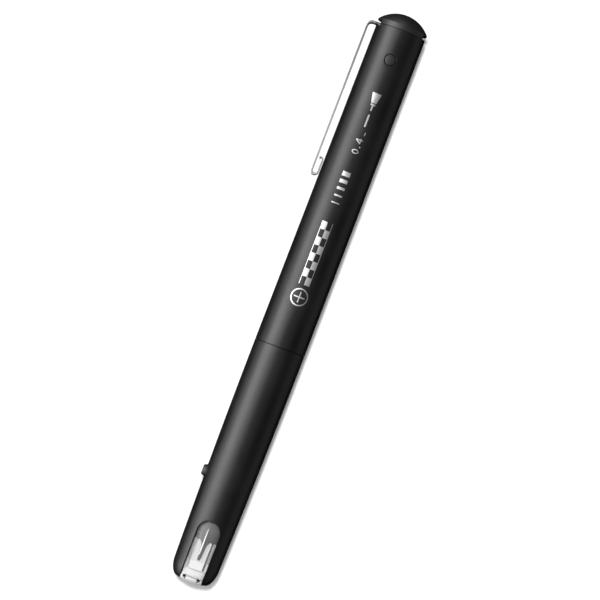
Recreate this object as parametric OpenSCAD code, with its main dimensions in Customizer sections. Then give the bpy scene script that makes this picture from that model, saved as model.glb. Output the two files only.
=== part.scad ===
// Capped needle-point ink pen, lying on its back with the window and print side up.
// Every sub-part is drawn upright, with its axis on Z, its tail at Z = 0, its clip on +X and its
// window on +Y, and is then laid down so that the pen's axis is the row's +X.

/* [Overall] */
// Length of the capped pen, from the tail to the top of the dome
pen_length = 140; // [138:0.5:150]
// Widest diameter, at the seam between barrel and cap
body_d = 12.1; // [12:0.1:12.6]
// Length of the barrel, from the tail to the seam
barrel_length = 58.1; // [56:0.1:60]
// Gap between the barrel's shoulder and the cap's mouth
seam_gap = 0.05; // [0.04:0.01:0.2]

/* [Barrel] */
// How much slimmer the barrel is at the tail than at the seam, in radius
barrel_taper = 0.62; // [0.4:0.02:0.7]
// Radius of the barrel's inner bore
barrel_bore_r = 4.75; // [4.7:0.01:4.8]
// Height of the rounded tail
tail_round_h = 4.9; // [4.5:0.1:5.2]
// Radius of the shallow dome at the very end of the tail
tail_dome_r = 3.4; // [3.3:0.05:3.5]
// Height of that dome
tail_dome_h = 0.6; // [0.5:0.02:0.62]
// Width of the window slot across the tail
window_w = 5.28; // [4.8:0.04:5.6]
// Height of the window's round top above the tail
window_h = 15.3; // [14.5:0.1:16]
// Distance of the roll stop above the tail
roll_stop_z = 25.56; // [22:0.1:35]
// Diameter of the roll stop
roll_stop_d = 2.84; // [2:0.1:3]
// How far the roll stop stands out of the barrel
roll_stop_h = 0.82; // [0.4:0.02:1]

/* [Cap] */
// Wall thickness of the cap at its mouth
cap_wall = 1.05; // [1:0.01:1.1]
// How much slimmer the cap is at its closed end, in radius
cap_taper = 0.12; // [0.05:0.01:0.14]
// Height of the domed end plug above the cap tube
dome_h = 4.05; // [3.6:0.05:4.4]
// Diameter of the snap holes that show as rings
snap_hole_d = 2.78; // [2.4:0.02:3]
// Distance of the snap holes below the rim of the cap tube
snap_hole_drop = 7.35; // [6.8:0.05:7.6]

/* [Clip] */
// Thickness of the clip's spring steel
clip_t = 0.52; // [0.45:0.01:0.55]
// Width of the clip
clip_w = 4.4; // [4:0.1:4.8]
// Length of the clip, from its bend to its toe
clip_length = 38.1; // [34:0.1:44]
// Free gap between the cap and the clip
clip_gap = 1.75; // [1.6:0.05:2]

/* [Point] */
// Outer diameter of the needle tube
needle_d = 1.1; // [1:0.05:1.2]
// Diameter of the writing ball
ball_d = 0.7; // [0.6:0.02:0.7]
// Length of the bare needle beyond its hub
needle_bare = 7; // [6:0.1:7]

/* [Hidden] */
$fn = 96;
eps = 0.01;
slip = 0.03;                                  // gap round a piece that is pressed home
seam_r = body_d / 2;
rim_z = pen_length - dome_h;                  // top edge of the cap tube
cap_mouth_z = barrel_length + seam_gap;
cap_top_r = seam_r - cap_taper;
cap_bore_r = seam_r - cap_wall;
plug_flange_r = cap_top_r + 0.05;            // overhangs the tube's rim a little
plug_band_h = 1.25;                           // upright edge below the dome
band_notch_h = 0.8;                           // flat notches in that edge, at the clip and opposite it
band_notch_x = 5.1;
plug_stem_z = rim_z - 11.5;                   // lower end of the end plug's stem
notch_w = clip_w + 1.2;
tongue_top_z = rim_z + 0.15;                  // leaves the notch above the clip open
tongue_far_x = cap_bore_r - 0.65;             // the tongue ends inside the plug
clip_out_x = cap_top_r + clip_gap + clip_t;   // outer face of the clip
hinge_x = cap_top_r + 0.35;                   // where the flat tongue ends and the bend starts

tail_side_r = seam_r - barrel_taper;          // barrel radius where the tail starts to round
tail_flat_r = 1.5;                            // flat at the very end, on which the pen can stand
tail_floor_z = 3.6;                           // the bore stops here, above solid corners
bridge_z = 1.05;                              // bar across the slot that ties the barrel's two sides
bridge_h = 0.9;
bridge_w = 3;
foot_z = 0.85;                                // end of the plug's forked foot, close under the tail
foot_w = 4.6;
foot_d = 5.4;
plug_top_z = 10.5;                            // top of the tail plug's two lobes, seen in the window
plug_flange_z = 5.6;                          // upper face of the plug's flange, where the tank stands
channel_foot_z = 5.83;                        // round lower end of the ink channel between the lobes
channel_foot_r = 0.36;
tank_r = barrel_bore_r - 0.05;
tank_bore_r = tank_r - 0.6;
tank_top_z = barrel_length - 8;
ink_level_z = tank_top_z - 6;

section_top_z = barrel_length + 36.4;         // end of the grip, where the nose cone starts
section_bore_r = 3.3;
collar_r = cap_bore_r - 0.3;
collar_top_z = barrel_length + 6.4;
ring_z = barrel_length + 3.4;                 // seal ring on the collar
ring_wire_r = 0.55;
ring_r = cap_bore_r - 0.1 - ring_wire_r;
grip_core_r = 4.05;
grip_r = collar_r - 0.05;
nose_end_z = section_top_z + 14.5;
nose_end_r = 1.95;
hub_top_z = nose_end_z + 5.8;
needle_end_z = hub_top_z + needle_bare;
ball_z = needle_end_z - 0.12;
liner_mouth_z = nose_end_z - 0.5;
pad_z = needle_end_z + 0.45;

// Points of an ellipse arc about c, with half axes a and b, from angle a0 to a1
function arc(c, a, b, a0, a1, n) =
    [for (i = [0:n]) let (t = a0 + (a1 - a0) * i / n) [c[0] + a * cos(t), c[1] + b * sin(t)]];

// Outer radius of the barrel at height z: a long, slightly bowed taper
function barrel_r(z) = seam_r - barrel_taper * pow((barrel_length - z) / (barrel_length - tail_round_h), 2);

// Unit normal at point i of a path
function path_normal(p, i) =
    let (d = p[min(i + 1, len(p) - 1)] - p[max(i - 1, 0)]) [d[1], -d[0]] / norm(d);

// Closed outline of a strip of thickness t that follows path p
function strip(p, t) = concat(
    [for (i = [0:len(p) - 1]) p[i] + path_normal(p, i) * t / 2],
    [for (i = [len(p) - 1:-1:0]) p[i] - path_normal(p, i) * t / 2]);

// Half outline of the barrel with its tail, from the axis outwards
barrel_outline = concat(
    [[0, 0]],
    [for (i = [0:4]) [tail_flat_r + (tail_dome_r - tail_flat_r) * i / 5, tail_dome_h * pow(i / 5, 1.6)]],
    arc([tail_dome_r, tail_round_h], tail_side_r - tail_dome_r, tail_round_h - tail_dome_h, -90, 0, 12),
    [for (i = [1:8]) let (z = tail_round_h + (barrel_length - tail_round_h) * i / 8) [barrel_r(z), z]],
    [[0, barrel_length]]);

// Upright drawing laid down: Z becomes the row's X, X its Y, and Y its Z
module lay_down() { rotate(a = 120, v = [1, 1, 1]) children(); }

// Ring about the axis, from z0 to z1
module tube(r_out, r_in, z0, z1) {
    translate([0, 0, z0]) difference() {
        cylinder(r = r_out, h = z1 - z0);
        translate([0, 0, -1]) cylinder(r = r_in, h = z1 - z0 + 2);
    }
}

// Round-topped slot across the tail, open below, narrower by inset on every side
module window_slot(inset) {
    half = window_w / 2 - inset;
    top = window_h - window_w / 2;
    rotate([90, 0, 0]) linear_extrude(height = 4 * seam_r, center = true) union() {
        translate([-half, -1]) square([2 * half, top + 1]);
        translate([0, top]) circle(r = half);
    }
}

// Trumpet-shaped channel between the plug's lobes, open to front and back, larger by grow
module ink_channel(grow) {
    steps = 10;
    foot = channel_foot_z + channel_foot_r;
    side = [for (i = [0:steps]) let (u = i / steps)
        [channel_foot_r + 0.27 * u + 0.6 * pow(u, 8) + grow, foot + (plug_top_z - foot) * u]];
    rotate([90, 0, 0]) linear_extrude(height = 4 * seam_r, center = true) polygon(concat(
        arc([0, foot], channel_foot_r + grow, channel_foot_r + grow, -172, -8, 10),
        side, [side[steps] + [0, 1]],
        [for (i = [steps:-1:0]) [-side[i][0], side[i][1] + (i == steps ? 1 : 0)]]));
}

// Bar across the slot at the tail, larger by grow
module tail_bridge(grow, length) {
    translate([-length / 2, -bridge_w / 2 - grow, bridge_z - grow])
        cube([length, bridge_w + 2 * grow, bridge_h + 2 * grow]);
}

module barrel() {
    color([0.05, 0.05, 0.055]) union() {
        difference() {
            rotate_extrude() polygon(barrel_outline);
            translate([0, 0, tail_floor_z]) cylinder(r = barrel_bore_r, h = pen_length);
            window_slot(0);
            translate([0, 0, roll_stop_z]) rotate([0, 90, 0]) cylinder(r = roll_stop_d / 2 + slip, h = 10);
        }
        tail_bridge(0, 6);
    }
}

// Clear horseshoe that closes the slot at front, tail and back
module window_insert() {
    color([0.85, 0.87, 0.88, 0.35]) difference() {
        intersection() {
            rotate_extrude() polygon(barrel_outline);
            window_slot(slip);
        }
        translate([0, 0, tail_floor_z]) cylinder(r = barrel_bore_r, h = pen_length);
        translate([-foot_w / 2 - 0.05, -foot_d / 2 - 0.05, foot_z - 0.05])
            cube([foot_w + 0.1, foot_d + 0.1, tail_floor_z]);
        tail_bridge(slip, 7);
    }
}

// White plug that closes the tank: two lobes beside the ink channel, a flange, and a forked foot in the
// slot, astride the barrel's bridge, which shows through a small triangular opening on either side
module tail_plug() {
    groove_w = 0.42;
    color([0.93, 0.93, 0.92]) difference() {
        union() {
            translate([0, 0, plug_flange_z - 1])
                cylinder(r = tank_bore_r - slip, h = plug_top_z - plug_flange_z + 1);
            translate([0, 0, tail_floor_z + slip])
                cylinder(r = tank_r, h = plug_flange_z - tail_floor_z - 2 * slip);
            translate([-foot_w / 2, -foot_d / 2, foot_z]) cube([foot_w, foot_d, plug_flange_z - foot_z - 0.05]);
        }
        ink_channel(0);
        translate([-4, -bridge_w / 2 - slip, 0]) cube([8, bridge_w + 2 * slip, bridge_z + bridge_h + slip]);
        for (side = [-1, 1]) rotate([90, 0, 0]) linear_extrude(height = 10, center = true)
            polygon([[side * 1.4, 0.98], [side * 2.12, 1.4], [side * 2.05, 1.7], [side * 1.4, 2.1]]);
        for (side = [-1, 1], face = [-1, 1]) // grooves beside the middle of each window
            translate([side * 1.88 - groove_w / 2, face * 4.4 - 2.1, tail_floor_z])
                cube([groove_w, 4.2, 12]);
    }
}

module ink_tank() {
    color([0.8, 0.82, 0.83, 0.4]) tube(tank_r, tank_bore_r, plug_flange_z + eps, tank_top_z);
}

module ink_fill() {
    color([0.12, 0.12, 0.13]) union() {
        translate([0, 0, plug_top_z + slip]) cylinder(r = tank_bore_r - slip, h = ink_level_z - plug_top_z);
        intersection() {
            ink_channel(-slip);
            cylinder(r = tank_bore_r - slip, h = plug_top_z + 0.5);
        }
    }
}

// Round boss pressed through the barrel wall, which keeps the open pen from rolling
module roll_stop() {
    top_r = barrel_r(roll_stop_z) + roll_stop_h;
    edge = 0.35;
    color([0.07, 0.07, 0.075]) translate([0, 0, roll_stop_z]) rotate([0, 90, 0])
        rotate_extrude() polygon(concat(
            [[0, barrel_bore_r + slip], [roll_stop_d / 2, barrel_bore_r + slip]],
            arc([roll_stop_d / 2 - edge, top_r - edge], edge, edge, 0, 90, 6),
            [[0, top_r]]));
}

// Bulkhead between the tank and the feed, with a hole for the wick
module tank_bulkhead() {
    color([0.85, 0.85, 0.83]) tube(tank_bore_r - slip, 0.8, tank_top_z - 2.6, tank_top_z);
}

// Holder under the cap: spigot in the barrel, collar with the ring groove, grip core, front spigot
module grip_section() {
    color([0.06, 0.06, 0.065]) difference() {
        union() {
            translate([0, 0, tank_top_z + slip])
                cylinder(r = barrel_bore_r - slip, h = barrel_length - tank_top_z - slip);
            translate([0, 0, barrel_length - eps]) cylinder(r = collar_r, h = collar_top_z - barrel_length);
            translate([0, 0, collar_top_z - 1]) cylinder(r = grip_core_r, h = section_top_z - collar_top_z + 1);
            translate([0, 0, section_top_z - 1]) cylinder(r = 3.6, h = 5.5);
        }
        translate([0, 0, tank_top_z - 1]) cylinder(r = section_bore_r, h = 60);
        tube(6, ring_r - ring_wire_r - 0.05, ring_z - ring_wire_r - 0.06, ring_z + ring_wire_r + 0.06);
    }
}

// Soft sleeve with a run of shallow grooves
module grip_sleeve() {
    groove_pitch = 1.5;
    groove_w = 0.55;
    groove_d = 0.22;
    z0 = collar_top_z + 0.1;
    z1 = section_top_z - 0.1;
    count = floor((z1 - z0 - 3) / groove_pitch);
    color([0.09, 0.09, 0.095]) rotate_extrude() polygon(concat(
        [[grip_core_r + slip, z0], [grip_r, z0]],
        [for (i = [0:count - 1], k = [0:3])
            [grip_r - (k == 1 || k == 2 ? groove_d : 0), z0 + 2 + i * groove_pitch + (k > 1 ? groove_w : 0)]],
        [[grip_r, z1], [grip_core_r + slip, z1]]));
}

module nose_cone() {
    wall = 0.85;
    color([0.06, 0.06, 0.065]) rotate_extrude() polygon([
        [3.63, section_top_z + slip], [grip_r, section_top_z + slip], [grip_r - 0.1, section_top_z + 2.4],
        [nose_end_r + 0.35, nose_end_z - 0.8], [nose_end_r, nose_end_z], [1.2, nose_end_z],
        [1.2, nose_end_z - 5], [grip_r - 0.1 - wall - 0.6, section_top_z + 4.6], [3.63, section_top_z + 4.6]]);
}

// Steel hub that grips the needle: spigot, flange, long cone and a small collar
module needle_hub() {
    color([0.75, 0.75, 0.77]) rotate_extrude() polygon([
        [0.8, nose_end_z - 5], [1.18, nose_end_z - 5], [1.18, nose_end_z + slip],
        [1.85, nose_end_z + slip], [1.85, nose_end_z + 0.6], [1.6, nose_end_z + 0.8],
        [0.85, hub_top_z - 0.9], [1.05, hub_top_z - 0.8], [1.05, hub_top_z - 0.2],
        [0.95, hub_top_z], [needle_d / 2 + eps, hub_top_z], [needle_d / 2 + eps, nose_end_z - 1],
        [0.8, nose_end_z - 1.4]]);
}

// Needle tube, rolled in at the end to hold the ball
module needle_tube() {
    color([0.8, 0.8, 0.82]) difference() {
        rotate_extrude() polygon([
            [0.3, nose_end_z - 0.9], [needle_d / 2, nose_end_z - 0.9], [needle_d / 2, needle_end_z - 0.75],
            [ball_d / 2 + 0.08, needle_end_z], [0.3, needle_end_z]]);
        translate([0, 0, ball_z]) sphere(r = ball_d / 2 + 0.02);
    }
}

module writing_ball() {
    color([0.85, 0.85, 0.86]) translate([0, 0, ball_z]) sphere(d = ball_d);
}

// Thin core that carries ink through the needle to the ball
module relay_core() {
    z0 = nose_end_z - 0.8;
    color([0.3, 0.3, 0.32]) translate([0, 0, z0]) cylinder(r = 0.22, h = ball_z - ball_d / 2 - 0.05 - z0);
}

// Comb of thin fins that takes up ink when the air in the tank swells
module feed_comb() {
    fin_pitch = 0.8;
    fin_t = 0.36;
    z0 = tank_top_z + 8.6;
    count = 42;
    top = z0 + count * fin_pitch;
    color([0.82, 0.82, 0.8]) difference() {
        rotate_extrude() polygon(concat(
            [[0.8, z0]],
            [for (i = [0:count - 1], k = [0:3])
                [k == 0 || k == 3 ? 1.6 : section_bore_r - 0.08, z0 + i * fin_pitch + (k > 1 ? fin_t : 0)]],
            [[1.6, top], [0.8, top]]));
        translate([0.9, -0.2, z0 - 1]) cube([4, 0.4, top - z0 + 2]);
    }
}

module ink_wick() {
    color([0.2, 0.2, 0.22]) translate([0, 0, tank_top_z - 4]) cylinder(r = 0.76, h = nose_end_z - 1.6 - tank_top_z + 4);
}

module cap_seal_ring() {
    color([0.04, 0.04, 0.04]) translate([0, 0, ring_z]) rotate_extrude()
        translate([ring_r, 0]) circle(r = ring_wire_r, $fn = 48);
}

// Long, slightly tapered sleeve with a rim notch for the clip and two snap holes
module cap_tube() {
    color([0.05, 0.05, 0.055]) difference() {
        translate([0, 0, cap_mouth_z]) cylinder(r1 = seam_r, r2 = cap_top_r, h = rim_z - cap_mouth_z);
        translate([0, 0, cap_mouth_z - 1]) cylinder(r = cap_bore_r, h = pen_length);
        translate([0, -notch_w / 2, tongue_top_z - clip_t - slip]) cube([3 * seam_r, notch_w, 10]);
        translate([0, 0, rim_z - snap_hole_drop]) rotate([90, 0, 0])
            cylinder(d = snap_hole_d, h = 4 * seam_r, center = true);
    }
}

// Domed plug with a hollow stem, a slot for the clip's tongue and two snap bosses
module cap_end_plug() {
    chord = plug_flange_r;
    rise = dome_h - plug_band_h;
    dome_r = (chord * chord + rise * rise) / (2 * rise);
    sweep = asin(chord / dome_r);
    stem_r = cap_bore_r - slip;
    color([0.06, 0.06, 0.065]) difference() {
        union() {
            rotate_extrude() polygon(concat(
                [[0, rim_z + slip], [plug_flange_r, rim_z + slip]],
                arc([0, pen_length - dome_r], dome_r, dome_r, 90 - sweep, 90, 10)));
            translate([0, 0, plug_stem_z]) cylinder(r = stem_r, h = rim_z + 0.2 - plug_stem_z);
            intersection() {
                translate([0, 0, rim_z - snap_hole_drop]) rotate([90, 0, 0])
                    cylinder(d = snap_hole_d - 0.26, h = 4 * seam_r, center = true);
                translate([0, 0, plug_stem_z]) cylinder(r = cap_top_r, h = 12);
            }
        }
        translate([0, 0, plug_stem_z - 1]) cylinder(r = 3.6, h = 10);
        for (a = [0, 180]) rotate([0, 0, a])
            translate([band_notch_x, -seam_r, rim_z - 0.1]) cube([seam_r, 2 * seam_r, band_notch_h + 0.1]);
        translate([0, 0, tongue_top_z - clip_t / 2])
            cube([3 * seam_r, clip_w + 2 * slip, clip_t + 2 * slip], center = true);
    }
}

// Sleeve in the cap with an inner cup that shuts over the point
module cap_liner() {
    cup_bore_r = nose_end_r + 0.3;
    cup_r = cup_bore_r + 0.7;
    sleeve_r = cap_bore_r - slip;
    top = plug_stem_z - slip;
    color([0.75, 0.76, 0.75]) rotate_extrude() polygon([
        [0, top], [sleeve_r, top], [sleeve_r, liner_mouth_z], [sleeve_r - 0.7, liner_mouth_z],
        [sleeve_r - 0.7, top - 1.4], [cup_r, top - 1.4], [cup_r, liner_mouth_z],
        [cup_bore_r, liner_mouth_z], [cup_bore_r, top - 0.8], [0, top - 0.8]]);
}

module seal_pad() {
    color([0.25, 0.25, 0.26]) translate([0, 0, pad_z])
        cylinder(r = nose_end_r + 0.25, h = plug_stem_z - 0.8 - 2 * slip - pad_z);
}

// Centre line of the clip outside the cap: bend, straight run and rolled toe
bend_r = 1.15;
toe_r = 0.78;                                 // centre-line radius of the toe's turns
arm_x = clip_out_x - clip_t / 2;
arm_top_z = tongue_top_z - clip_t / 2;
toe_z = arm_top_z + clip_t / 2 - clip_length + clip_t / 2;
toe_rise = 2.75;                              // straight rise of the rolled toe
clip_path = concat(
    [[hinge_x + 0.04, arm_top_z]],
    arc([arm_x - bend_r, arm_top_z - bend_r], bend_r, bend_r, 90, 0, 8),
    arc([arm_x - toe_r, toe_z + toe_r], toe_r, toe_r, 0, -180, 12),
    arc([arm_x - 1.35 * toe_r, toe_z + toe_r + toe_rise], 0.65 * toe_r, 0.65 * toe_r, 180, 60, 8));

module clip_arm() {
    color([0.88, 0.88, 0.9]) rotate([90, 0, 0]) linear_extrude(height = clip_w, center = true)
        polygon(strip(clip_path, clip_t));
}

// Flat tongue of the clip, which runs through the end plug
module clip_tongue() {
    far_x = tongue_far_x;
    color([0.88, 0.88, 0.9]) translate([-far_x, -clip_w / 2, tongue_top_z - clip_t])
        cube([far_x + hinge_x, clip_w, clip_t]);
}

lay_down() barrel();
lay_down() window_insert();
lay_down() tail_plug();
lay_down() ink_tank();
lay_down() ink_fill();
lay_down() roll_stop();
lay_down() tank_bulkhead();
lay_down() grip_section();
lay_down() grip_sleeve();
lay_down() nose_cone();
lay_down() needle_hub();
lay_down() needle_tube();
lay_down() writing_ball();
lay_down() relay_core();
lay_down() feed_comb();
lay_down() ink_wick();
lay_down() cap_seal_ring();
lay_down() cap_tube();
lay_down() cap_end_plug();
lay_down() cap_liner();
lay_down() seal_pad();
lay_down() clip_arm();
lay_down() clip_tongue();
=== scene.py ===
"""Looks for a capped needle-point ink pen that lies on its back.

Axes: +X from tail to cap, +Y to the clip, +Z to the print and the window.
"""

import math

import bmesh
import bpy
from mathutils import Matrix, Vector


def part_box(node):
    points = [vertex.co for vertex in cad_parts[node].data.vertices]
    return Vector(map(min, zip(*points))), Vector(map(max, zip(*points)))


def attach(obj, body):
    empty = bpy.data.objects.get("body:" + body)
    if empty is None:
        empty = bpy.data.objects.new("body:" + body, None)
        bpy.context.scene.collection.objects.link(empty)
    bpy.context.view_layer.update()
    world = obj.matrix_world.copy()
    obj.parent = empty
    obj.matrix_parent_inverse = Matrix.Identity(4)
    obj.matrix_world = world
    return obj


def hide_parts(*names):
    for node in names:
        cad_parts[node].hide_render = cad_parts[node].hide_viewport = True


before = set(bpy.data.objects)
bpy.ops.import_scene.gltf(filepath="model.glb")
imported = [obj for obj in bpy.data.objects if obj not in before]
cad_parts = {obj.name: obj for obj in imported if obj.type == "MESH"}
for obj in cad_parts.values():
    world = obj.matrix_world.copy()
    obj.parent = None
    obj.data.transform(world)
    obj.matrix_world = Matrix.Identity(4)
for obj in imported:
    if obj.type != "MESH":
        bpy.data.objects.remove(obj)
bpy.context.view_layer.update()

MM = 0.001
TURNS = 128  # segments round a large turned piece
FAR = 9  # mm from the axis: outside the pen on every side, where cutters end

# ---------------------------------------------------------------- sizes, in mm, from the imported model


def span(node):
    """Lowest and highest corner of a CAD node, in mm."""
    low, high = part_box(node)
    return Vector(low) / MM, Vector(high) / MM


barrel_high = span("barrel")[1]
tube_low, tube_high = span("cap_tube")
plug_low, plug_high = span("cap_end_plug")
arm_low, arm_high = span("clip_arm")
tongue_low, tongue_high = span("clip_tongue")
insert_high = span("window_insert")[1]
stud_low, stud_high = span("roll_stop")
section_low, section_high = span("grip_section")
grip_low, grip_high = span("grip_sleeve")
nose_low, nose_high = span("nose_cone")
hub_high = span("needle_hub")[1]
needle_low, needle_high = span("needle_tube")
ring_low, ring_high = span("cap_seal_ring")
liner_low, liner_high = span("cap_liner")

SEAM_X = barrel_high.x
SEAM_R = barrel_high.z
BARREL_TAPER = 0.62
TAIL_ROUND = 4.9
TAIL_FLAT_R = 1.5
TAIL_DOME_R = 3.4
TAIL_DOME_H = 0.6
BORE_R = 4.75
CAP_TOP_R = SEAM_R - 0.12
CAP_BORE_R = 5.0
RIM_X = tube_high.x
WINDOW_HALF = insert_high.y + 0.03
WINDOW_TOP = insert_high.x + 0.03
STUD_X = (stud_low.x + stud_high.x) / 2
SNAP_X = RIM_X - 7.35
BAND_H = 1.25  # upright edge of the end plug, below its dome
BAND_NOTCH = (0.8, 5.1)  # height of the notches in that edge, and how far out they start
SNAP_HOLE_R = 1.39


def barrel_radius(x):
    return SEAM_R - BARREL_TAPER * ((SEAM_X - x) / (SEAM_X - TAIL_ROUND)) ** 2


def cap_radius(x):
    return SEAM_R + (CAP_TOP_R - SEAM_R) * (x - tube_low.x) / (RIM_X - tube_low.x)


# ---------------------------------------------------------------- mesh tools


def about_x(along, radius, angle):
    return Vector((along, radius * math.sin(angle), radius * math.cos(angle))) * MM


def about_y(x):
    def place(along, radius, angle):
        return Vector((x + radius * math.cos(angle), along, radius * math.sin(angle))) * MM

    return place


def about_z(x):
    def place(along, radius, angle):
        return Vector((x + radius * math.cos(angle), radius * math.sin(angle), along)) * MM

    return place


def flat(u, v, h):
    return Vector((u, v, h)) * MM


def upright(u, v, h):
    return Vector((u, h, v)) * MM


def rectangle(x0, x1, y0, y1):
    return [(x0, y0), (x1, y0), (x1, y1), (x0, y1)]


def arc(centre, half_along, half_out, start, end, steps):
    """Points of an ellipse arc in the (along, out) plane; the angle is measured from along towards out."""
    angles = [math.radians(start + (end - start) * k / steps) for k in range(steps + 1)]
    return [(centre[0] + half_along * math.cos(t), centre[1] + half_out * math.sin(t)) for t in angles]


def rounded(points, radius, steps=4, closed=False):
    """The same outline with each clear corner cut and rounded."""
    count = len(points)
    result = []
    for k, point in enumerate(points):
        if not closed and k in (0, count - 1):
            result.append(tuple(point))
            continue
        here = Vector(point)
        back = Vector(points[k - 1]) - here
        ahead = Vector(points[(k + 1) % count]) - here
        if back.length < 1e-6 or ahead.length < 1e-6 or back.angle(ahead) > math.radians(155):
            result.append(tuple(point))
            continue
        cut = min(radius, 0.45 * back.length, 0.45 * ahead.length)
        first = here + back.normalized() * cut
        last = here + ahead.normalized() * cut
        for step in range(steps + 1):
            t = step / steps
            result.append(tuple((1 - t) ** 2 * first + 2 * t * (1 - t) * here + t * t * last))
    return result


def lathe(mesh, outline, place=about_x, turns=TURNS):
    """Turns an outline of (along, radius) points. It ends on the axis at both ends, or closes on itself."""
    rings = []
    for along, radius in outline:
        if radius < 1e-6:
            rings.append([mesh.verts.new(place(along, 0, 0))])
        else:
            rings.append([mesh.verts.new(place(along, radius, math.tau * k / turns)) for k in range(turns)])
    pairs = list(zip(rings, rings[1:]))
    if len(rings[0]) > 1:
        pairs.append((rings[-1], rings[0]))
    for low, high in pairs:
        for k in range(turns):
            n = (k + 1) % turns
            if len(low) == 1 and len(high) > 1:
                mesh.faces.new((low[0], high[k], high[n]))
            elif len(high) == 1 and len(low) > 1:
                mesh.faces.new((low[n], low[k], high[0]))
            elif len(low) > 1:
                mesh.faces.new((low[k], high[k], high[n], low[n]))


def prism(mesh, outline, low, high, place):
    """Straight prism on a flat outline, between two heights."""
    sides = [[mesh.verts.new(place(u, v, h)) for u, v in outline] for h in (low, high)]
    mesh.faces.new(sides[0])
    mesh.faces.new(sides[1])
    for k in range(len(outline)):
        n = (k + 1) % len(outline)
        mesh.faces.new((sides[0][k], sides[0][n], sides[1][n], sides[1][k]))


def make(name, mesh, material=None):
    bmesh.ops.recalc_face_normals(mesh, faces=mesh.faces)
    data = bpy.data.meshes.new(name)
    mesh.to_mesh(data)
    mesh.free()
    piece = bpy.data.objects.new(name, data)
    bpy.context.scene.collection.objects.link(piece)
    if material:
        data.materials.append(material)
    return piece


def block(name, outline, low=-FAR, high=FAR, place=flat):
    """A straight prism as an object, to cut with."""
    mesh = bmesh.new()
    prism(mesh, outline, low, high, place)
    return make(name, mesh)


def carve(piece, cutters, edge=0.0, keep=()):
    """Keeps only what lies in the keep solids, cuts the cutters out, and rounds the new edges."""
    for cutter in (*keep, *cutters):
        cut = piece.modifiers.new("cut", "BOOLEAN")
        cut.operation = "INTERSECT" if cutter in keep else "DIFFERENCE"
        cut.solver = "EXACT"
        cut.object = cutter
    if edge:
        bevel = piece.modifiers.new("edge", "BEVEL")
        bevel.width, bevel.segments, bevel.limit_method = edge * MM, 3, "ANGLE"
        bevel.angle_limit = math.radians(40)
        bevel.use_clamp_overlap = False
    graph = bpy.context.evaluated_depsgraph_get()
    data = bpy.data.meshes.new_from_object(piece.evaluated_get(graph))
    piece.modifiers.clear()
    piece.data = data
    for cutter in (*keep, *cutters):
        bpy.data.objects.remove(cutter)


def finish_piece(piece, body, nodes=(), sharp=38):
    data = piece.data
    data.shade_smooth()
    data.set_sharp_from_angle(angle=math.radians(sharp))
    weighted = piece.modifiers.new("normals", "WEIGHTED_NORMAL")
    weighted.keep_sharp = True
    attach(piece, body)
    if nodes:
        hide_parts(*nodes)
    return piece


# ---------------------------------------------------------------- materials


def shader(name, color, roughness, metallic=0.0, **inputs):
    """A material with its principled shader, its node tree and its object coordinates."""
    material = bpy.data.materials.new(name)
    material.use_nodes = True
    tree = material.node_tree
    surface = tree.nodes["Principled BSDF"]
    surface.inputs["Base Color"].default_value = (*color, 1)
    surface.inputs["Roughness"].default_value = roughness
    surface.inputs["Metallic"].default_value = metallic
    for key, value in inputs.items():
        surface.inputs[key.replace("_", " ")].default_value = value
    return material, tree, surface


def noise(tree, scale, detail=3.0, stretch=None):
    """Noise in object space; scale is in features per metre and stretch scales the three axes."""
    where = tree.nodes.new("ShaderNodeTexCoord")
    texture = tree.nodes.new("ShaderNodeTexNoise")
    texture.inputs["Scale"].default_value = scale
    texture.inputs["Detail"].default_value = detail
    if stretch:
        mapping = tree.nodes.new("ShaderNodeMapping")
        mapping.inputs["Scale"].default_value = stretch
        tree.links.new(where.outputs["Object"], mapping.inputs["Vector"])
        tree.links.new(mapping.outputs["Vector"], texture.inputs["Vector"])
    else:
        tree.links.new(where.outputs["Object"], texture.inputs["Vector"])
    return texture


def vary(tree, texture, socket, low, high, start=0.35, end=0.65):
    """Drives a socket from noise, between two values or two colours."""
    if isinstance(low, tuple):
        ramp = tree.nodes.new("ShaderNodeValToRGB")
        ramp.color_ramp.elements[0].position, ramp.color_ramp.elements[1].position = start, end
        ramp.color_ramp.elements[0].color, ramp.color_ramp.elements[1].color = (*low, 1), (*high, 1)
        tree.links.new(texture.outputs["Fac"], ramp.inputs["Fac"])
        tree.links.new(ramp.outputs["Color"], socket)
    else:
        scaled = tree.nodes.new("ShaderNodeMapRange")
        for key, value in zip(("From Min", "From Max", "To Min", "To Max"), (start, end, low, high)):
            scaled.inputs[key].default_value = value
        tree.links.new(texture.outputs["Fac"], scaled.inputs["Value"])
        tree.links.new(scaled.outputs["Result"], socket)


def bump(tree, surface, texture, strength, depth_mm):
    node = tree.nodes.new("ShaderNodeBump")
    node.inputs["Strength"].default_value = strength
    node.inputs["Distance"].default_value = depth_mm * MM
    tree.links.new(texture.outputs["Fac"], node.inputs["Height"])
    tree.links.new(node.outputs["Normal"], surface.inputs["Normal"])


def moulded(name, dark, light, rough, grain_scale=5200, grain=0.35, grain_mm=0.02):
    """Moulded plastic: fine spark-eroded grain, slow drift in gloss and colour."""
    material, tree, surface = shader(name, dark, rough)
    fine = noise(tree, grain_scale, 2.0)
    slow = noise(tree, 120, 4.0)
    vary(tree, slow, surface.inputs["Base Color"], dark, light)
    vary(tree, slow, surface.inputs["Roughness"], rough - 0.03, rough + 0.04)
    bump(tree, surface, fine, grain, grain_mm)
    return material


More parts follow.
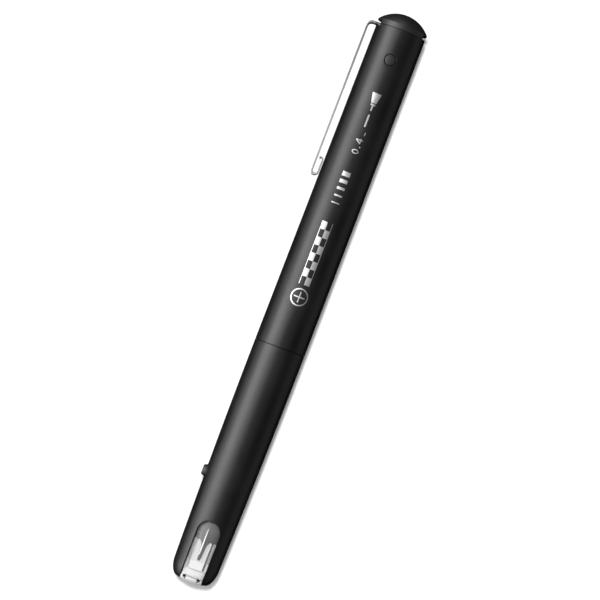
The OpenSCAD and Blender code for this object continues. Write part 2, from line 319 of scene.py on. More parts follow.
def clear(name, haze, tint, roughness, gloss_ior=1.5):
    """Clear plastic that light passes straight through: a reflecting skin over a slightly milky wall."""
    material, tree, surface = shader(name, tint, roughness)
    out = tree.nodes["Material Output"]
    through = tree.nodes.new("ShaderNodeBsdfTransparent")
    through.inputs["Color"].default_value = (*tint, 1)
    rim = tree.nodes.new("ShaderNodeFresnel")
    rim.inputs["IOR"].default_value = gloss_ior
    gloss = tree.nodes.new("ShaderNodeBsdfGlossy")
    gloss.inputs["Roughness"].default_value = roughness
    milk = noise(tree, 900, 3.0)
    body = tree.nodes.new("ShaderNodeMixShader")
    vary(tree, milk, body.inputs["Fac"], haze * 0.85, haze * 1.15)
    tree.links.new(through.outputs[0], body.inputs[1])
    tree.links.new(surface.outputs[0], body.inputs[2])
    skin = tree.nodes.new("ShaderNodeMixShader")
    tree.links.new(rim.outputs[0], skin.inputs["Fac"])
    tree.links.new(body.outputs[0], skin.inputs[1])
    tree.links.new(gloss.outputs[0], skin.inputs[2])
    tree.links.new(skin.outputs[0], out.inputs["Surface"])
    return material


def metal(name, color, rough_low, rough_high, stretch, scale=700, depth_mm=0.004, strength=0.2):
    """Worked metal: brushed or turned lines along one direction, and faint smudges."""
    material, tree, surface = shader(name, color, rough_low, metallic=1.0)
    lines = noise(tree, scale, 4.0, stretch)
    smudge = noise(tree, 260, 3.0)
    vary(tree, smudge, surface.inputs["Roughness"], rough_low, rough_high)
    vary(tree, lines, surface.inputs["Base Color"], tuple(c * 0.9 for c in color), color)
    bump(tree, surface, lines, strength, depth_mm)
    return material


BARREL_BLACK = moulded("barrel_plastic", (0.0030, 0.0030, 0.0031), (0.0042, 0.0042, 0.0043), 0.38)
CAP_BLACK = moulded("cap_plastic", (0.0030, 0.0030, 0.0031), (0.0040, 0.0040, 0.0041), 0.37)
# Black plastic of the end plug and its snap bosses, made over twice as light as the cap's black as painted
# light: it lightens the dome, which the lamps leave too dark.
DOME_BLACK_PAINTED_LIGHT = moulded("end_plug_plastic_painted_light", (0.007, 0.007, 0.007), (0.009, 0.009, 0.009), 0.37, grain=0.2)
INNER_BLACK = moulded("section_plastic", (0.012, 0.012, 0.013), (0.016, 0.016, 0.017), 0.30, grain=0.12)
GRIP_RUBBER = moulded("grip_rubber", (0.014, 0.014, 0.015), (0.022, 0.022, 0.023), 0.68, 3800, 0.5, 0.03)
SEAL_RUBBER = moulded("seal_rubber", (0.010, 0.010, 0.010), (0.016, 0.016, 0.016), 0.45, 3000, 0.25, 0.02)
WHITE = moulded("plug_plastic", (0.345, 0.345, 0.345), (0.38, 0.38, 0.38), 0.45, 2500, 0.12, 0.01)
FOOT_WHITE = moulded("foot_plastic", (0.35, 0.35, 0.35), (0.39, 0.39, 0.39), 0.45, 2500, 0.12, 0.01)
IVORY = moulded("liner_plastic", (0.60, 0.60, 0.57), (0.68, 0.68, 0.65), 0.42, 2500, 0.15, 0.01)
FIBRE = moulded("ink_fibre", (0.02, 0.02, 0.025), (0.06, 0.06, 0.065), 0.85, 6000, 0.8, 0.06)
INK = moulded("ink", (0.040, 0.040, 0.040), (0.055, 0.055, 0.055), 0.5, 500, 0.03, 0.01)
WINDOW_CLEAR = clear("window_plastic", 0.008, (1.0, 1.0, 1.0), 0.16, 1.25)
TANK_CLEAR = clear("tank_plastic", 0.006, (1.0, 1.0, 1.0), 0.4, 1.02)
# Opaque pale grey, not clear: a painted highlight, the bright streak that runs over the ink in the window.
RIB_PAINTED_HIGHLIGHT = moulded("rib_painted_highlight", (0.50, 0.50, 0.50), (0.62, 0.62, 0.62), 0.25, 2500, 0.1, 0.005)
CLIP_STEEL = metal("clip_plating", (0.86, 0.86, 0.87), 0.17, 0.19, (0.1, 1.0, 1.0), 700, 0.002, 0.1)
HUB_STEEL = metal("hub_steel", (0.72, 0.71, 0.69), 0.20, 0.32, (6.0, 0.4, 0.4))
NEEDLE_STEEL = metal("needle_steel", (0.76, 0.76, 0.75), 0.16, 0.26, (0.1, 1.5, 1.5))
BALL_METAL = metal("ball_metal", (0.55, 0.55, 0.57), 0.06, 0.10, (1.0, 1.0, 1.0), 4000, 0.001, 0.05)
FOIL = metal("print_foil", (0.74, 0.74, 0.74), 0.36, 0.46, (1.0, 1.0, 1.0), 2600, 0.006, 0.3)

for node, material in {
    "ink_tank": TANK_CLEAR,
    "ink_fill": INK,
    "tank_bulkhead": IVORY,
    "feed_comb": IVORY,
    "ink_wick": FIBRE,
    "relay_core": FIBRE,
    "seal_pad": SEAL_RUBBER,
}.items():
    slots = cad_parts[node].material_slots
    slots[0].material = material

# ---------------------------------------------------------------- barrel

EDGE = 0.14
REBATE_SHIFT = 0.12  # the step round the window is wider on the clip side
REBATE_SIDE, REBATE_TOP = 0.11, 0.1  # how far the step reaches past the slot
BRIDGE_X, BRIDGE_LENGTH = 1.05, 0.9  # bar across the slot at the tail
BRIDGE_HALF_WIDTH, BRIDGE_HALF_HEIGHT = 2.6, 1.5
BORE_FLOOR = 3.6  # the barrel's bore starts here
FIT = 0.03  # gap round a piece that is pressed home
FOOT_END = 3.63  # where the plug's foot meets its flange
FOOT_STEP = 1.6  # up to here the foot is flush with the tail; beyond it, the clear window covers it
PLUG_TOP = 10.5
PLUG_FACE = 3.7  # height of the plug's flat front and back
CHANNEL_FOOT, CHANNEL_R = 5.83, 0.36


def tail_curve():
    """The tail of the barrel, from its shallow dome to where the long taper starts."""
    shares = [k / 8 for k in range(8)]
    dome = [(TAIL_DOME_H * t**1.6, TAIL_FLAT_R + (TAIL_DOME_R - TAIL_FLAT_R) * t) for t in shares]
    out = barrel_radius(TAIL_ROUND) - TAIL_DOME_R
    return dome + arc((TAIL_ROUND, TAIL_DOME_R), TAIL_ROUND - TAIL_DOME_H, out, 180, 90, 20)


def window_outline(half, top, steps=48):
    """Round-topped slot outline in the XY plane, open past the tail."""
    return [(-1, -half)] + arc((top - half, 0), half, half, -90, 90, steps) + [(-1, half)]


def build_barrel():
    stations = [TAIL_ROUND + (SEAM_X - TAIL_ROUND) * k / 40 for k in range(1, 41)]
    side = [(x, barrel_radius(x)) for x in stations]
    mouth = rounded([side[-2], side[-1], (SEAM_X, BORE_R), (SEAM_X - 2, BORE_R)], EDGE)
    outline = [(0, 0)] + tail_curve() + side[:-2] + mouth + [(BORE_FLOOR, BORE_R), (BORE_FLOOR, 0)]
    mesh = bmesh.new()
    lathe(mesh, outline)
    barrel = make("barrel_shell", mesh, BARREL_BLACK)

    window = block("window_cut", window_outline(WINDOW_HALF, WINDOW_TOP))
    stud_hole = bmesh.new()
    stud_r = 1.45
    lathe(stud_hole, [(0, 0), (0, stud_r), (FAR, stud_r), (FAR, 0)], about_y(STUD_X), 48)
    steps = (
        (4.05, window_outline(WINDOW_HALF + REBATE_SIDE, WINDOW_TOP + REBATE_TOP)),
        (3.0, rectangle(-1, 3.5, -WINDOW_HALF - 0.1, WINDOW_HALF + REBATE_SIDE)),
    )
    rebates = []
    for face in (1, -1):
        for low, step in steps:
            shifted = [(u, v + REBATE_SHIFT) for u, v in step]
            rebates.append(block("rebate_cut", shifted, face * low, face * FAR))
    carve(barrel, [window, make("stud_cut", stud_hole), *rebates], 0.05)
    finish_piece(barrel, "barrel", ["barrel"])

    bridge = bmesh.new()
    bar_outline = rectangle(BRIDGE_X, BRIDGE_X + BRIDGE_LENGTH, -BRIDGE_HALF_WIDTH, BRIDGE_HALF_WIDTH)
    bar_outline = rounded(bar_outline, 0.08, closed=True)
    prism(bridge, bar_outline, -BRIDGE_HALF_HEIGHT, BRIDGE_HALF_HEIGHT, flat)
    finish_piece(make("tail_bridge", bridge, BARREL_BLACK), "barrel")


def build_window():
    """Clear horseshoe in the barrel's slot, hollow for the tank and for the plug's foot."""
    side = [(x, barrel_radius(x)) for x in [TAIL_ROUND + 1.1 * k for k in range(1, 11)]]
    mesh = bmesh.new()
    lathe(mesh, [(0, 0)] + tail_curve() + side + [(side[-1][0], 0)])
    window = make("clear_window", mesh, WINDOW_CLEAR)
    bore = bmesh.new()
    lathe(bore, [(BORE_FLOOR, 0), (BORE_FLOOR, BORE_R), (20, BORE_R), (20, 0)])
    face = PLUG_FACE + 0.02
    cutters = [
        make("bore_cut", bore),
        block("pocket_cut", rectangle(-1, FOOT_END, -3, 3), -face, face),
        block("end_cut", rectangle(-1, FOOT_STEP + 0.02, -3, 3)),
    ]
    band = block("band", window_outline(insert_high.y, insert_high.x))
    carve(window, cutters, 0.08, keep=[band])
    finish_piece(window, "barrel", ["window_insert"])


def channel_outline():
    """Outline of the trumpet-shaped ink channel between the plug's lobes, from its round foot upwards."""
    start, steps = CHANNEL_FOOT + CHANNEL_R, 24
    shares = [k / steps for k in range(steps + 1)]
    side = [(start + (PLUG_TOP - start) * t, CHANNEL_R + 0.27 * t + 0.6 * t**8) for t in shares]
    side.append((PLUG_TOP + 1, side[-1][1]))
    foot = arc((start, 0), CHANNEL_R, CHANNEL_R, 260, 100, 12)
    return foot + side + [(x, -r) for x, r in reversed(side)]


def build_plug():
    """White plug: two flat-faced lobes beside the ink channel, and a flange."""
    mesh = bmesh.new()
    wide, slim, flange = 4.67, 4.05, 5.6
    outline = [(FOOT_END, 0), (FOOT_END, wide), (flange, wide), (flange, slim)]
    lathe(mesh, outline + [(PLUG_TOP, slim), (PLUG_TOP, 0)])
    body = make("two_lobed_plug", mesh, WHITE)
    groove_near, groove_far = 1.68, 2.10
    cutters = []
    for side in (1, -1):
        cutters.append(block("face_cut", rectangle(2, 12, -6, 6), side * PLUG_FACE, side * FAR))
        for across, deep in ((1, 1.3), (-1, 2.6)):
            low, high = sorted((across * groove_near, across * groove_far))
            groove = rectangle(FOOT_END - 1, 12, low, high)
            cutters.append(block("groove_cut", groove, side * (PLUG_FACE - deep), side * FAR))
    carve(body, [*cutters, block("channel_cut", channel_outline())], 0.06)
    finish_piece(body, "barrel", ["tail_plug"])


def build_plug_foot():
    """Foot of the plug: flush with the tail, forked astride the bridge, with two openings."""
    near = [(x + FIT, r) for x, r in tail_curve() if x < FOOT_END - 0.2]
    end = FOOT_END + 0.12
    mesh = bmesh.new()
    lathe(mesh, [(FIT, 0)] + near + [(end, near[-1][1]), (end, 0)])
    foot = make("plug_foot", mesh, FOOT_WHITE)
    half = WINDOW_HALF - 0.06
    fork = BRIDGE_HALF_HEIGHT + FIT
    cutters = [block("bridge_cut", rectangle(-1, BRIDGE_X + BRIDGE_LENGTH + FIT, -4, 4), -fork, fork)]
    triangle = ((0.75, 1.35), (1.3, 2.14), (1.65, 2.05), (1.93, 1.35))
    for side in (1, -1):
        face = rectangle(FOOT_STEP, FOOT_END + 1, -6, 6)
        cutters.append(block("face_cut", face, side * (PLUG_FACE + 0.015), side * FAR))
        opening = rounded([(x, side * y) for x, y in triangle], 0.1, closed=True)
        cutters.append(block("triangle_cut", opening))
    carve(foot, cutters, 0.05, keep=[block("foot_band", rectangle(-1, 9, -half, half))])
    finish_piece(foot, "barrel")


def build_painted_highlight_rib():
    """Fine pale rib down the middle of the tank's wall, a painted highlight that shows as a bright line over
    the ink.
    """
    start, length, middle, wall_r, rise = 7.2, 6.3, 0.3, 4.7, 0.045
    steps, sides = 24, 6
    mesh = bmesh.new()
    for side in (1, -1):
        grid = []
        for k in range(steps + 1):
            u = k / steps
            x = start + length * u
            half = 0.03 + 0.10 * math.sin(math.pi * min(1, 0.15 + u * 0.85)) ** 0.7
            row = []
            for j in range(sides + 1):
                t = math.pi * j / sides
                y = middle + half * math.cos(t)
                z = math.sqrt(wall_r**2 - y * y) - 0.01 + rise * math.sin(t)
                row.append(mesh.verts.new(flat(x, y, side * z)))
            grid.append(row)
        for low, high in zip(grid, grid[1:]):
            for j in range(sides):
                mesh.faces.new((low[j], low[j + 1], high[j + 1], high[j]))
            mesh.faces.new((low[0], high[0], high[sides], low[sides]))
        mesh.faces.new(grid[0])
        mesh.faces.new(grid[-1])
    finish_piece(make("tank_highlight_rib", mesh, RIB_PAINTED_HIGHLIGHT), "barrel")


def build_stud():
    base_r, top_r = 1.42, 1.12
    base, top = BORE_R + 0.05, stud_high.y
    shoulder = barrel_radius(STUD_X) + 0.1
    outline = [(base, 0), (base, base_r), (shoulder, base_r), (top, top_r), (top, 0)]
    mesh = bmesh.new()
    lathe(mesh, rounded(outline, 0.22, 6), about_y(STUD_X), 64)
    finish_piece(make("roll_stop_stud", mesh, BARREL_BLACK), "barrel", ["roll_stop"])


# ---------------------------------------------------------------- cap


def build_cap_tube():
    stations = [tube_low.x + (RIM_X - tube_low.x) * k / 40 for k in range(41)]
    side = [(x, cap_radius(x)) for x in stations]
    low = rounded([(tube_low.x + 3, CAP_BORE_R), (tube_low.x, CAP_BORE_R), side[0], side[1]], EDGE)
    top = rounded([side[-2], side[-1], (RIM_X, CAP_BORE_R), (RIM_X - 3, CAP_BORE_R)], 0.1)
    mesh = bmesh.new()
    lathe(mesh, low + side[2:-2] + top)
    tube = make("cap_sleeve", mesh, CAP_BLACK)

    notch_half = 2.8
    notch = rectangle(tongue_low.x - FIT, 139, -notch_half, notch_half)
    notch = rounded(notch, 0.25, closed=True)
    hole = bmesh.new()
    lathe(hole, [(-FAR, 0), (-FAR, SNAP_HOLE_R), (FAR, SNAP_HOLE_R), (FAR, 0)], about_z(SNAP_X), 64)
    carve(tube, [block("notch_cut", notch, 3, FAR, upright), make("snap_cut", hole)], 0.06)
    finish_piece(tube, "cap", ["cap_tube"])


def snap_boss(mesh, side):
    """Round boss that fills a snap hole, its face flush with the cap and its edge rounded."""
    radius, edge, depth, turns = 1.25, 0.16, 1.2, 64
    reach = cap_radius(SNAP_X) - 0.02
    corner = [math.pi / 2 * k / 4 for k in range(5)]
    steps = [(radius * k / 6 * 0.85, 0.0) for k in range(1, 7)]
    steps += [(radius - edge + edge * math.sin(t), edge * (1 - math.cos(t))) for t in corner]
    steps.append((radius, depth))
    centre = mesh.verts.new(Vector((SNAP_X, 0, side * reach)) * MM)
    last = None
    for out, drop in steps:
        circle = []
        for k in range(turns):
            t = math.tau * k / turns
            y = out * math.sin(t)
            z = math.sqrt(reach**2 - y**2) - drop
            circle.append(mesh.verts.new(Vector((SNAP_X + out * math.cos(t), y, side * z)) * MM))
        for k in range(turns):
            n = (k + 1) % turns
            if last is None:
                mesh.faces.new((centre, circle[k], circle[n]))
            else:
                mesh.faces.new((last[k], circle[k], circle[n], last[n]))
        last = circle
    mesh.faces.new(last)


def build_end_plug():
    flange_r, stem_r = CAP_TOP_R + 0.05, CAP_BORE_R - 0.03
    rise = plug_high.x - RIM_X - BAND_H
    dome_r = (flange_r**2 + rise**2) / (2 * rise)
    sweep = math.degrees(math.asin(flange_r / dome_r))
    dome = arc((plug_high.x - dome_r, 0), dome_r, dome_r, sweep, 0, 28)
    stem_x = plug_low.x
    hollow_x, hollow_r = stem_x + 9, 3.6
    outline = rounded([
        (hollow_x, 0), (hollow_x, hollow_r), (stem_x, hollow_r), (stem_x, stem_r),
        (RIM_X + FIT, stem_r), (RIM_X + FIT, flange_r), dome[0], dome[1]], 0.13, 5)
    mesh = bmesh.new()
    lathe(mesh, outline[:-1] + dome[2:-1] + [(plug_high.x, 0)])
    plug = make("dome_plug", mesh, DOME_BLACK_PAINTED_LIGHT)
    slot_half = 2.23
    slot = rectangle(tongue_low.x - FIT, tongue_high.x + FIT, -slot_half, slot_half)
    cutters = [block("tongue_cut", slot, place=upright)]
    notch_height, notch_out = BAND_NOTCH
    for side in (1, -1):
        notch = rectangle(RIM_X - 0.3, RIM_X + notch_height, -7, 7)
        cutters.append(block("notch_cut", notch, side * notch_out, side * (notch_out + 3), upright))
    carve(plug, cutters, 0.06)
    finish_piece(plug, "cap", ["cap_end_plug"])
    bosses = bmesh.new()
    for side in (1, -1):
        snap_boss(bosses, side)
    finish_piece(make("snap_bosses", bosses, DOME_BLACK_PAINTED_LIGHT), "cap")


# ---------------------------------------------------------------- clip

CLIP_T = tongue_high.x - tongue_low.x
ARM_T = CLIP_T + 0.08  # a little thicker than the CAD's strip, on the inner side
STRIP_CORNER = 0.09
NARROW = 3.5  # width of the strip at its toe
ARM_Y = arm_high.y - ARM_T / 2
TONGUE_X = (tongue_low.x + tongue_high.x) / 2


def sweep(mesh, path, widths, thick, corner):
    """A flat strip along a path in the XY plane, with rounded long edges and closed ends."""
    loops = []
    for k, point in enumerate(path):
        ahead = Vector(path[min(k + 1, len(path) - 1)]) - Vector(path[max(k - 1, 0)])
        ahead.normalize()
        side = Vector((-ahead.y, ahead.x))
        t, w = thick[k] / 2, widths[k] / 2
        corner_here = min(corner, t * 0.9, w * 0.9)
        section = rounded([(-t, -w), (t, -w), (t, w), (-t, w)], corner_here, 4, closed=True)
        spots = [(point[0] + side.x * u, point[1] + side.y * u, v) for u, v in section]
        loops.append([mesh.verts.new(Vector(spot) * MM) for spot in spots])
    for low, high in zip(loops, loops[1:]):
        for k in range(len(low)):
            n = (k + 1) % len(low)
            mesh.faces.new((low[k], low[n], high[n], high[k]))
    mesh.faces.new(loops[0])
    mesh.faces.new(loops[-1])


def build_clip():
    bend_r, toe_r, toe_rise = 1.15, 0.74, 2.75
    toe_x = arm_low.x + ARM_T / 2
    hinge_y = tongue_high.y + 0.04
    hook = (toe_x + toe_r + toe_rise, ARM_Y - 1.35 * toe_r)
    straight_from, straight_to = TONGUE_X - bend_r, toe_x + toe_r
    path = [(TONGUE_X, hinge_y)]
    path += arc((TONGUE_X - bend_r, ARM_Y - bend_r), bend_r, bend_r, 0, 90, 14)
    path += [(straight_from + (straight_to - straight_from) * k / 30, ARM_Y) for k in range(1, 30)]
    path += arc((straight_to, ARM_Y - toe_r), toe_r, toe_r, 90, 270, 20)
    path += [(straight_to + toe_rise * k / 6, ARM_Y - 2 * toe_r) for k in range(1, 6)]
    path += arc(hook, 0.65 * toe_r, 0.65 * toe_r, 270, 390, 12)
    full = arm_high.z - arm_low.z
    widths, thick = [], []
    for k, (x, y) in enumerate(path):
        share = min(1.0, max(0.0, (TONGUE_X - x) / (TONGUE_X - toe_x)))
        from_end = len(path) - 1 - k
        tip = min(1.0, 0.80 + 0.07 * from_end)
        widths.append((full + (NARROW - full) * share**1.5) * tip)
        strip_t = CLIP_T + (ARM_T - CLIP_T) * min(1.0, k / 14)
        thick.append(strip_t * min(1.0, 0.75 + 0.13 * from_end))
    mesh = bmesh.new()
    sweep(mesh, path, widths, thick, STRIP_CORNER)
    strip = make("clip_strip", mesh, CLIP_STEEL)
    strip.visible_glossy = False
    finish_piece(strip, "clip", ["clip_arm"])

    tongue = bmesh.new()
    ends = [tongue_low.y + (tongue_high.y - tongue_low.y) * k / 8 for k in range(9)]
    sweep(tongue, [(TONGUE_X, y) for y in ends], [full] * 9, [CLIP_T] * 9, STRIP_CORNER)
    finish_piece(make("clip_root", tongue, CLIP_STEEL), "cap", ["clip_tongue"])
    return strip


# ---------------------------------------------------------------- holder and point, under the cap


GRIP_CORE_R = 4.05
GRIP_R = grip_high.z
SPIGOT_R = 3.6
RING_X = (ring_low.x + ring_high.x) / 2
RING_WIRE = (ring_high.x - ring_low.x) / 2
RING_R = ring_high.z - RING_WIRE
NOSE_END = nose_high.x


def turned(name, outline, material, body, nodes, turns=TURNS):
    """A turned piece that replaces CAD nodes."""
    mesh = bmesh.new()
    lathe(mesh, outline, turns=turns)
    finish_piece(make(name, mesh, material), body, nodes)


def build_holder():
    collar_r, collar_top, bore = CAP_BORE_R - 0.3, SEAM_X + 6.4, 3.3
    groove_low, groove_high = RING_X - RING_WIRE - 0.06, RING_X + RING_WIRE + 0.06
    groove_r = RING_R - RING_WIRE - 0.05
    step = grip_high.x + 0.1
    outline = rounded([
        (section_low.x, bore), (section_low.x, BORE_R - FIT), (SEAM_X, BORE_R - FIT), (SEAM_X, collar_r),
        (groove_low, collar_r), (groove_low, groove_r), (groove_high, groove_r), (groove_high, collar_r),
        (collar_top, collar_r), (collar_top, GRIP_CORE_R), (step, GRIP_CORE_R), (step, SPIGOT_R),
        (section_high.x, SPIGOT_R), (section_high.x, bore)], 0.12, closed=True)
    turned("holder", outline, INNER_BLACK, "barrel", ["grip_section"])


def build_grip():
    """Soft sleeve with a row of shallow grooves."""
    first, last, pitch, width, depth, slope = grip_low.x, grip_high.x, 1.5, 0.55, 0.22, 0.12
    floor_r = GRIP_R - depth
    outline = [(first, GRIP_CORE_R + FIT), (first, GRIP_R)]
    for k in range(math.floor((last - first - 3) / pitch)):
        x = first + 2 + pitch * k
        outline += [(x, GRIP_R), (x + slope, floor_r), (x + width - slope, floor_r), (x + width, GRIP_R)]
    outline += [(last, GRIP_R), (last, GRIP_CORE_R + FIT)]
    outline = rounded(outline, 0.14, closed=True)
    turned("grip_rubber_sleeve", outline, GRIP_RUBBER, "barrel", ["grip_sleeve"])


def build_nose():
    start, end, tip_r, bore = nose_low.x, NOSE_END, 1.95, 1.2
    outline = rounded([
        (start, 3.63), (start, GRIP_R), (start + 2.4, GRIP_R - 0.1), (end - 0.8, tip_r + 0.35), (end, tip_r),
        (end, bore), (end - 5, bore), (start + 4.6, GRIP_R - 1.55), (start + 4.6, 3.63)], 0.3, 6, closed=True)
    turned("nose", outline, INNER_BLACK, "barrel", ["nose_cone"])


def build_point():
    """Steel hub, needle tube and writing ball."""
    end, top, bore = NOSE_END, hub_high.x, needle_high.z + 0.01
    spigot_r, flange_r = 1.18, 1.85
    outline = rounded([
        (end - 5, 0.8), (end - 5, spigot_r), (end + FIT, spigot_r), (end + FIT, flange_r),
        (end + 0.6, flange_r), (end + 0.8, 1.6), (top - 0.9, 0.85), (top - 0.8, 1.05), (top - 0.2, 1.05),
        (top, 0.95), (top, bore), (end - 1, bore), (end - 1.4, 0.8)], 0.1, closed=True)
    turned("hub", outline, HUB_STEEL, "barrel", ["needle_hub"], 96)

    radius, tip, inner = needle_high.z, needle_high.x, 0.3
    outline = rounded([
        (needle_low.x, inner), (needle_low.x, radius), (tip - 0.75, radius), (tip, 0.43), (tip, 0.36),
        (tip - 0.3, 0.36), (tip - 0.5, inner)], 0.05, closed=True)
    turned("needle", outline, NEEDLE_STEEL, "barrel", ["needle_tube"], 64)

    ball_low, ball_high = span("writing_ball")
    centre, radius = (ball_low.x + ball_high.x) / 2, ball_high.z
    outline = [(x, max(0.0, r)) for x, r in arc((centre, 0), radius, radius, 180, 0, 24)]
    outline[-1] = (centre + radius, 0)
    turned("point_ball", outline, BALL_METAL, "ball", ["writing_ball"], 48)


def build_seal():
    """Seal ring in the collar's groove, and the inner cup of the cap."""
    outline = arc((RING_X, RING_R), RING_WIRE, RING_WIRE, 0, 345, 23)
    turned("seal_o_ring", outline, SEAL_RUBBER, "seal_ring", ["cap_seal_ring"], 96)

    cup, wall, sleeve = 2.25, 0.7, CAP_BORE_R - FIT
    top, mouth = liner_high.x, liner_low.x
    outline = rounded([
        (top, 0), (top, sleeve), (mouth, sleeve), (mouth, sleeve - wall), (top - 1.4, sleeve - wall),
        (top - 1.4, cup + wall), (mouth, cup + wall), (mouth, cup), (top - 0.8, cup), (top - 0.8, 0)], 0.15)
    turned("inner_cup", outline, IVORY, "cap", ["cap_liner"])


# ---------------------------------------------------------------- print on the cap

FOIL_LIFT, FOIL_ROOT = 0.012, -0.02  # the foil's face and its hidden back, from the cap's surface


def on_cap(x, across, lift=FOIL_LIFT):
    """A point of the print: x along the pen, across towards the clip, both measured on the surface."""
    radius = cap_radius(x) + lift
    return Vector((x, radius * math.sin(across / radius), radius * math.cos(across / radius))) * MM


def mark(mesh, shape, along=8, over=8):
    """A thin raised patch; shape(u, v) gives its (x, across) for u and v from 0 to 1."""
    grids = []
    for lift in (FOIL_LIFT, FOIL_ROOT):
        grid = []
        for i in range(along + 1):
            row = [on_cap(*shape(i / along, j / over), lift) for j in range(over + 1)]
            grid.append([mesh.verts.new(spot) for spot in row])
        grids.append(grid)
    for grid in grids:
        for i in range(along):
            for j in range(over):
                mesh.faces.new((grid[i][j], grid[i + 1][j], grid[i + 1][j + 1], grid[i][j + 1]))
    rim = [(i, 0) for i in range(along)] + [(along, j) for j in range(over)]
    rim += [(i, over) for i in range(along, 0, -1)] + [(0, j) for j in range(over, 0, -1)]
    upper, lower = grids
    for (i, j), (k, n) in zip(rim, rim[1:] + rim[:1]):
        mesh.faces.new((upper[i][j], upper[k][n], lower[k][n], lower[i][j]))


def bar(mesh, x0, x1, low, high, low_end=None, high_end=None):
    """A straight-sided mark from x0 to x1 whose lower and upper edges may slope."""
    low_end = low if low_end is None else low_end
    high_end = high if high_end is None else high_end

    def shape(u, v):
        bottom, top = low + (low_end - low) * u, high + (high_end - high) * u
        return x0 + (x1 - x0) * u, bottom + (top - bottom) * v

    mark(mesh, shape)


def ring(mesh, x, across, half_x, half_y, width, start=0, end=360):
    """A ring, or part of one, as a stroke of a given width."""

    def shape(u, v):
        t = math.radians(start + (end - start) * u)
        return (x + (half_x - width * v) * math.cos(t), across + (half_y - width * v) * math.sin(t))

    mark(mesh, shape, 40, 2)


def stroke(mesh, x0, y0, x1, y1, width):
    """A straight stroke between two points."""
    dx, dy = x1 - x0, y1 - y0
    length = math.hypot(dx, dy)

    def shape(u, v):
        off = width * (v - 0.5)
        return x0 + dx * u - dy / length * off, y0 + dy * u + dx / length * off

    mark(mesh, shape, 6, 2)


def print_needle_point(foil):
    """Needle point, drawn as a cone, a collar and a fine tube, with a line in front of it."""
    bar(foil, 120.4, 118.0, -1.1, 1.1, -0.62, 0.62)
    bar(foil, 117.8, 117.4, -0.55, 0.55)
    bar(foil, 117.4, 116.1, -0.2, 0.2, -0.14, 0.14)
    bar(foil, 115.2, 112.2, -0.18, 0.18)


def print_line_width(foil, x):
    """Numerals of the line width, and a short dash."""
    height, width, pen = 1.62, 1.05, 0.22
    base, stem = -height / 2, x + 2.8
    ring(foil, x, 0, width / 2, height / 2, pen)
    bar(foil, x + 1.05, x + 1.35, base, base + 0.3)
    stroke(foil, stem, base, stem, base + height, pen)
    stroke(foil, stem, base + height, stem - 0.8, base + 0.5, pen)
    stroke(foil, stem - 0.9, base + 0.5, stem + 0.35, base + 0.5, pen)
    bar(foil, x + 4.0, x + 4.8, base, base + pen)


def print_samples(foil, x, pitch=1.75):
    """Samples of line widths."""
    for k, weight in enumerate((0.25, 0.4, 0.6, 0.85, 1.1)):
        middle = x + pitch * k
        bar(foil, middle - weight / 2, middle + weight / 2, -0.95, 0.95)


def print_scale(foil, x, cell=1.92, count=8):
    """Two-row scale bar with a line along each side."""
    half, line = 1.3, 0.14
    for k in range(count):
        row = 0.0 if k % 2 else -half
        bar(foil, x + cell * k, x + cell * k + cell, row, row + half)
    bar(foil, x, x + cell * count, half - line, half)
    bar(foil, x, x + cell * count, -half, line - half)


def print_centre(foil, x):
    """Ring with a cross."""
    radius, half, pen = 2.08, 1.3, 0.26
    ring(foil, x, 0, radius, radius, 0.28)
    stroke(foil, x - half, 0, x + half, 0, pen)
    stroke(foil, x, -half, x, half, pen)


def build_print():
    foil = bmesh.new()
    print_needle_point(foil)
    print_line_width(foil, 106.2)
    print_samples(foil, 93.6)
    print_scale(foil, 73.5)
    print_centre(foil, 70.5)
    finish_piece(make("cap_print", foil, FOIL), "cap", sharp=60)


build_barrel()
build_window()
build_plug()
build_plug_foot()
build_painted_highlight_rib()
build_stud()
build_cap_tube()
build_end_plug()
clip = build_clip()
build_holder()
build_grip()
build_nose()
build_point()
build_seal()
build_print()

# ---------------------------------------------------------------- floor, light and camera

scene = bpy.context.scene
PEN_TURN = math.radians(21)  # the pen leans this far to the right of upright in the picture
PEN_MIDDLE = Vector((0.06996, -0.00041, 0.0))
CAMERA_HEIGHT = 0.692


def build_floor():
    mesh = bmesh.new()
    half, steps = 1.4, 28  # metres, squares along each side
    places = [half * (2 * i / steps - 1) for i in range(steps + 1)]
    grid = [[mesh.verts.new((x, y, -SEAM_R * MM)) for y in places] for x in places]
    for i in range(steps):
        for j in range(steps):
            mesh.faces.new((grid[i][j], grid[i + 1][j], grid[i + 1][j + 1], grid[i][j + 1]))
    material, tree, surface = shader("floor_paper", (0.9, 0.9, 0.9), 0.9)
    paper = noise(tree, 30, 3.0)
    vary(tree, paper, surface.inputs["Base Color"], (0.89, 0.89, 0.89), (0.92, 0.92, 0.92))
    floor = make("floor", mesh, material)
    floor.visible_glossy = False
    return floor


def link_lamp(lamp, suffix, piece, state):
    """A collection of one piece, to include in or leave out of a lamp's light or shadows."""
    group = bpy.data.collections.new(lamp.name + suffix)
    group.objects.link(piece)
    group.collection_objects[0].light_linking.link_state = state
    return group


def softbox(name, middle, target, size, radiance, glossy=True, skips=None, passes=None, only=None):
    """A panel of light, size (across, along) in metres.

    It doesn't light skips. The piece passes casts no shadow in it. If only is given, it lights nothing else.
    """
    lamp = bpy.data.lights.new(name, "AREA")
    lamp.shape, lamp.size, lamp.size_y = "RECTANGLE", size[0], size[1]
    lamp.energy = radiance * math.pi * size[0] * size[1]
    panel = bpy.data.objects.new(name, lamp)
    panel.location = middle
    panel.rotation_euler = (Vector(target) - Vector(middle)).to_track_quat("-Z", "X").to_euler()
    panel.visible_camera = False
    panel.visible_glossy = glossy
    scene.collection.objects.link(panel)
    if skips or only:
        lit = link_lamp(panel, "_lights", skips or only, "EXCLUDE" if skips else "INCLUDE")
        panel.light_linking.receiver_collection = lit
    if passes:
        panel.light_linking.blocker_collection = link_lamp(panel, "_passes", passes, "EXCLUDE")


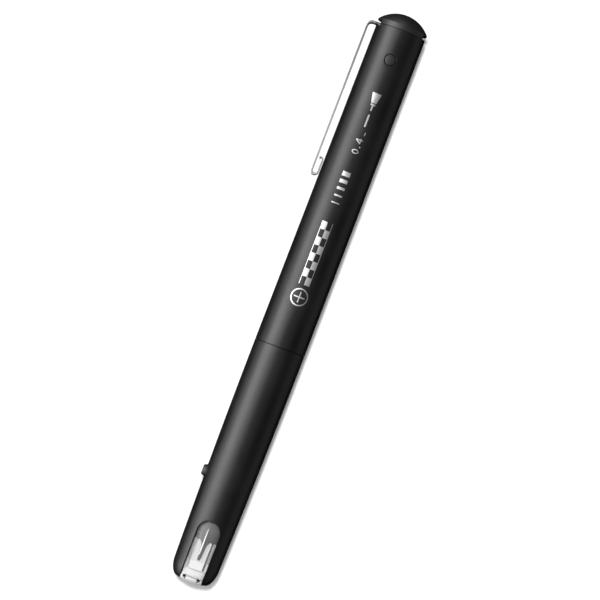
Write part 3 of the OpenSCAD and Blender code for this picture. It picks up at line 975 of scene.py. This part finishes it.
def side_panel(name, low, high, radiance, floor, distance=0.5, length=0.75):
    """A panel parallel to the pen that spans two angles, measured from straight up towards the clip side."""
    t = math.radians((low + high) / 2)
    across = 2 * distance * math.tan(math.radians(high - low) / 2)
    middle = Vector((0.07, distance * math.sin(t), distance * math.cos(t)))
    softbox(name, middle, (0.07, 0, 0), (across, length), radiance, skips=floor)


def build_light(floor, clip):
    side_panel("key", 33, 69, 5.2, floor)
    side_panel("key_falloff", 9, 33, 2.0, floor)
    side_panel("overhead", -9, 9, 0.45, floor)
    side_panel("far_side", -120, -75, 0.22, floor)
    side_panel("near_side", 69, 100, 0.8, floor)
    softbox("cap_end_card", (0.55, 0.25, 0.12), (0.14, 0, 0), (0.35, 0.6), 1.4, skips=floor)
    softbox("tail_end_card", (-0.30, 0.42, 0.10), (0, 0, 0), (0.35, 0.6), 2.6, skips=floor)
    # the floor and the ceiling as the clip would reflect them, since the floor is left out of reflections
    softbox("clip_bounce", (0.12, 0.45, -0.16), (0.12, 0, 0), (0.5, 2.0), 0.45, passes=floor, only=clip)
    softbox("clip_top", (0.12, 0.07, 0.9), (0.12, 0, 0), (0.25, 0.8), 0.18, only=clip)
    tilt_x, tilt_y, reach = math.radians(9.5), math.radians(6.6), 1.2
    sky = Vector((math.tan(tilt_x), math.tan(tilt_y), 1)) * reach + Vector((0.07, 0, 0))
    softbox("floor_light", sky, (0.07, 0, 0), (0.15, 0.15), 205.0, glossy=False, passes=clip)
    world = bpy.data.worlds.new("studio")
    world.use_nodes = True
    world.node_tree.nodes["Background"].inputs["Color"].default_value = (1, 1, 1, 1)
    world.node_tree.nodes["Background"].inputs["Strength"].default_value = 0.6
    world.cycles_visibility.glossy = False
    scene.world = world


def build_camera():
    data = bpy.data.cameras.new("camera")
    data.lens, data.sensor_width = 180, 36
    data.clip_start, data.clip_end = 0.01, 10
    camera = bpy.data.objects.new("camera", data)
    camera.location = PEN_MIDDLE + Vector((0, 0, CAMERA_HEIGHT))
    camera.rotation_euler = (0, 0, PEN_TURN - math.pi / 2)
    scene.collection.objects.link(camera)
    scene.camera = camera


build_light(build_floor(), clip)
build_camera()
scene.view_settings.view_transform = "Standard"
